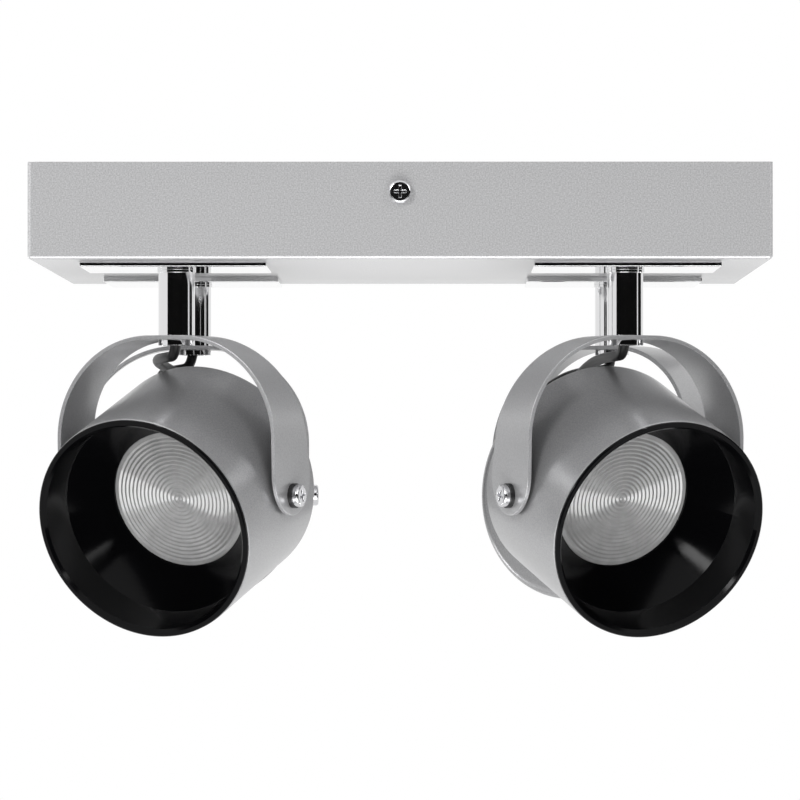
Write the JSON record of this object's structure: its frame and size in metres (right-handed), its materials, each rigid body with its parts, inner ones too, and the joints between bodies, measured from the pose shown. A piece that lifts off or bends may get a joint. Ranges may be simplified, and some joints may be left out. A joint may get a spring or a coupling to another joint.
{
  "type": "four-head pivoting spotlight fixture",
  "caption": "Square metal base with pivoting cylindrical spot heads, each held in a U-shaped yoke on a short chrome stem.",
  "frame": {"origin": "centre of the flat face that meets the ceiling or wall", "axes": "+Z towards the ceiling (the fixture hangs to -Z), +X right and -Y front as in the picture"},
  "size_m": [0.26, 0.2648, 0.1668],
  "materials": {
    "cover_paint": "metallic silver paint, satin, on folded steel sheet",
    "yoke_paint": "metallic silver paint, satin, on bent steel strap",
    "head_paint": "metallic silver paint, satin, on the round head",
    "chrome_plate": "bright nickel-chrome plating, polished",
    "screw_steel": "bright plated steel",
    "zinc_plate": "zinc plated steel, dull",
    "baffle_black": "black gloss enamel",
    "lens_diffuser": "moulded ringed diffuser, translucent",
    "led_board": "white solder resist round a yellow light source",
    "cast_aluminium": "die-cast, as cast",
    "driver_case": "moulded white case",
    "terminal_plastic": "moulded nylon, natural",
    "cable_black": "black sheath, semi-gloss",
    "washer_black": "black nylon washers",
    "grommet_rubber": "black rubber, matt"
  },
  "bodies": {
    "root": {"base_cover": "cover_paint", "mounting_bracket": "zinc_plate", "cover_screws": "screw_steel", "led_driver": "driver_case", "terminal_block": "terminal_plastic", "earth_screw": "screw_steel", "driver_leads": "cable_black", "hollow_rods": "zinc_plate", "rod_washers": "zinc_plate", "rod_nuts": "zinc_plate", "flange_nuts": "chrome_plate", "rosette_plate_front_left": "chrome_plate", "stem_front_left": "chrome_plate", "rosette_plate_front_right": "chrome_plate", "stem_front_right": "chrome_plate", "rosette_plate_rear_right": "chrome_plate", "stem_rear_right": "chrome_plate", "rosette_plate_rear_left": "chrome_plate", "stem_rear_left": "chrome_plate"},
    "swivel_front_left": {"yoke_front_left": "yoke_paint", "cable_front_left": "cable_black"},
    "head_front_left": {"head_shell_front_left": "head_paint", "baffle_front_left": "baffle_black", "lens_front_left": "lens_diffuser", "led_board_front_left": "led_board", "heat_sink_front_left": "cast_aluminium", "pivot_screws_front_left": "screw_steel", "pivot_washers_front_left": "washer_black", "cable_grommet_front_left": "grommet_rubber"},
    "swivel_front_right": {"yoke_front_right": "yoke_paint", "cable_front_right": "cable_black"},
    "head_front_right": {"head_shell_front_right": "head_paint", "baffle_front_right": "baffle_black", "lens_front_right": "lens_diffuser", "led_board_front_right": "led_board", "heat_sink_front_right": "cast_aluminium", "pivot_screws_front_right": "screw_steel", "pivot_washers_front_right": "washer_black", "cable_grommet_front_right": "grommet_rubber"},
    "swivel_rear_right": {"yoke_rear_right": "yoke_paint", "cable_rear_right": "cable_black"},
    "head_rear_right": {"head_shell_rear_right": "head_paint", "baffle_rear_right": "baffle_black", "lens_rear_right": "lens_diffuser", "led_board_rear_right": "led_board", "heat_sink_rear_right": "cast_aluminium", "pivot_screws_rear_right": "screw_steel", "pivot_washers_rear_right": "washer_black", "cable_grommet_rear_right": "grommet_rubber"},
    "swivel_rear_left": {"yoke_rear_left": "yoke_paint", "cable_rear_left": "cable_black"},
    "head_rear_left": {"head_shell_rear_left": "head_paint", "baffle_rear_left": "baffle_black", "lens_rear_left": "lens_diffuser", "led_board_rear_left": "led_board", "heat_sink_rear_left": "cast_aluminium", "pivot_screws_rear_left": "screw_steel", "pivot_washers_rear_left": "washer_black", "cable_grommet_rear_left": "grommet_rubber"}
  },
  "joints": [
    {"name": "swivel_front_left", "type": "hinge", "parent": "root", "child": "swivel_front_left", "pos_m": [-0.08, -0.08, -0.0595], "axis": [0, 0, 1], "range_deg": [-150.1, 199.9]},
    {"name": "tilt_front_left", "type": "hinge", "parent": "swivel_front_left", "child": "head_front_left", "pos_m": [-0.07768, -0.07501, -0.1165], "axis": [0.907, -0.421, 0], "range_deg": [-45.7, 69.3], "deforming": ["cable_front_left"]},
    {"name": "swivel_front_right", "type": "hinge", "parent": "root", "child": "swivel_front_right", "pos_m": [0.08, -0.08, -0.0595], "axis": [0, 0, 1], "range_deg": [-201.5, 148.5]},
    {"name": "tilt_front_right", "type": "hinge", "parent": "swivel_front_right", "child": "head_front_right", "pos_m": [0.07755, -0.07508, -0.1165], "axis": [0.8949, 0.4462, 0], "range_deg": [-46.5, 68.5], "deforming": ["cable_front_right"]},
    {"name": "swivel_rear_right", "type": "hinge", "parent": "root", "child": "swivel_rear_right", "pos_m": [0.08, 0.08, -0.0595], "axis": [0, 0, 1], "range_deg": [-141.6, 208.4]},
    {"name": "tilt_rear_right", "type": "hinge", "parent": "swivel_rear_right", "child": "head_rear_right", "pos_m": [0.07697, 0.07541, -0.1165], "axis": [-0.8348, 0.5505, 0], "range_deg": [-29, 86], "deforming": ["cable_rear_right"]},
    {"name": "swivel_rear_left", "type": "hinge", "parent": "root", "child": "swivel_rear_left", "pos_m": [-0.08, 0.08, -0.0595], "axis": [0, 0, 1], "range_deg": [-178, 172]},
    {"name": "tilt_rear_left", "type": "hinge", "parent": "swivel_rear_left", "child": "head_rear_left", "pos_m": [-0.07971, 0.07451, -0.1165], "axis": [-0.9986, -0.0523, 0], "range_deg": [-25, 90], "deforming": ["cable_rear_left"]}
  ]
}
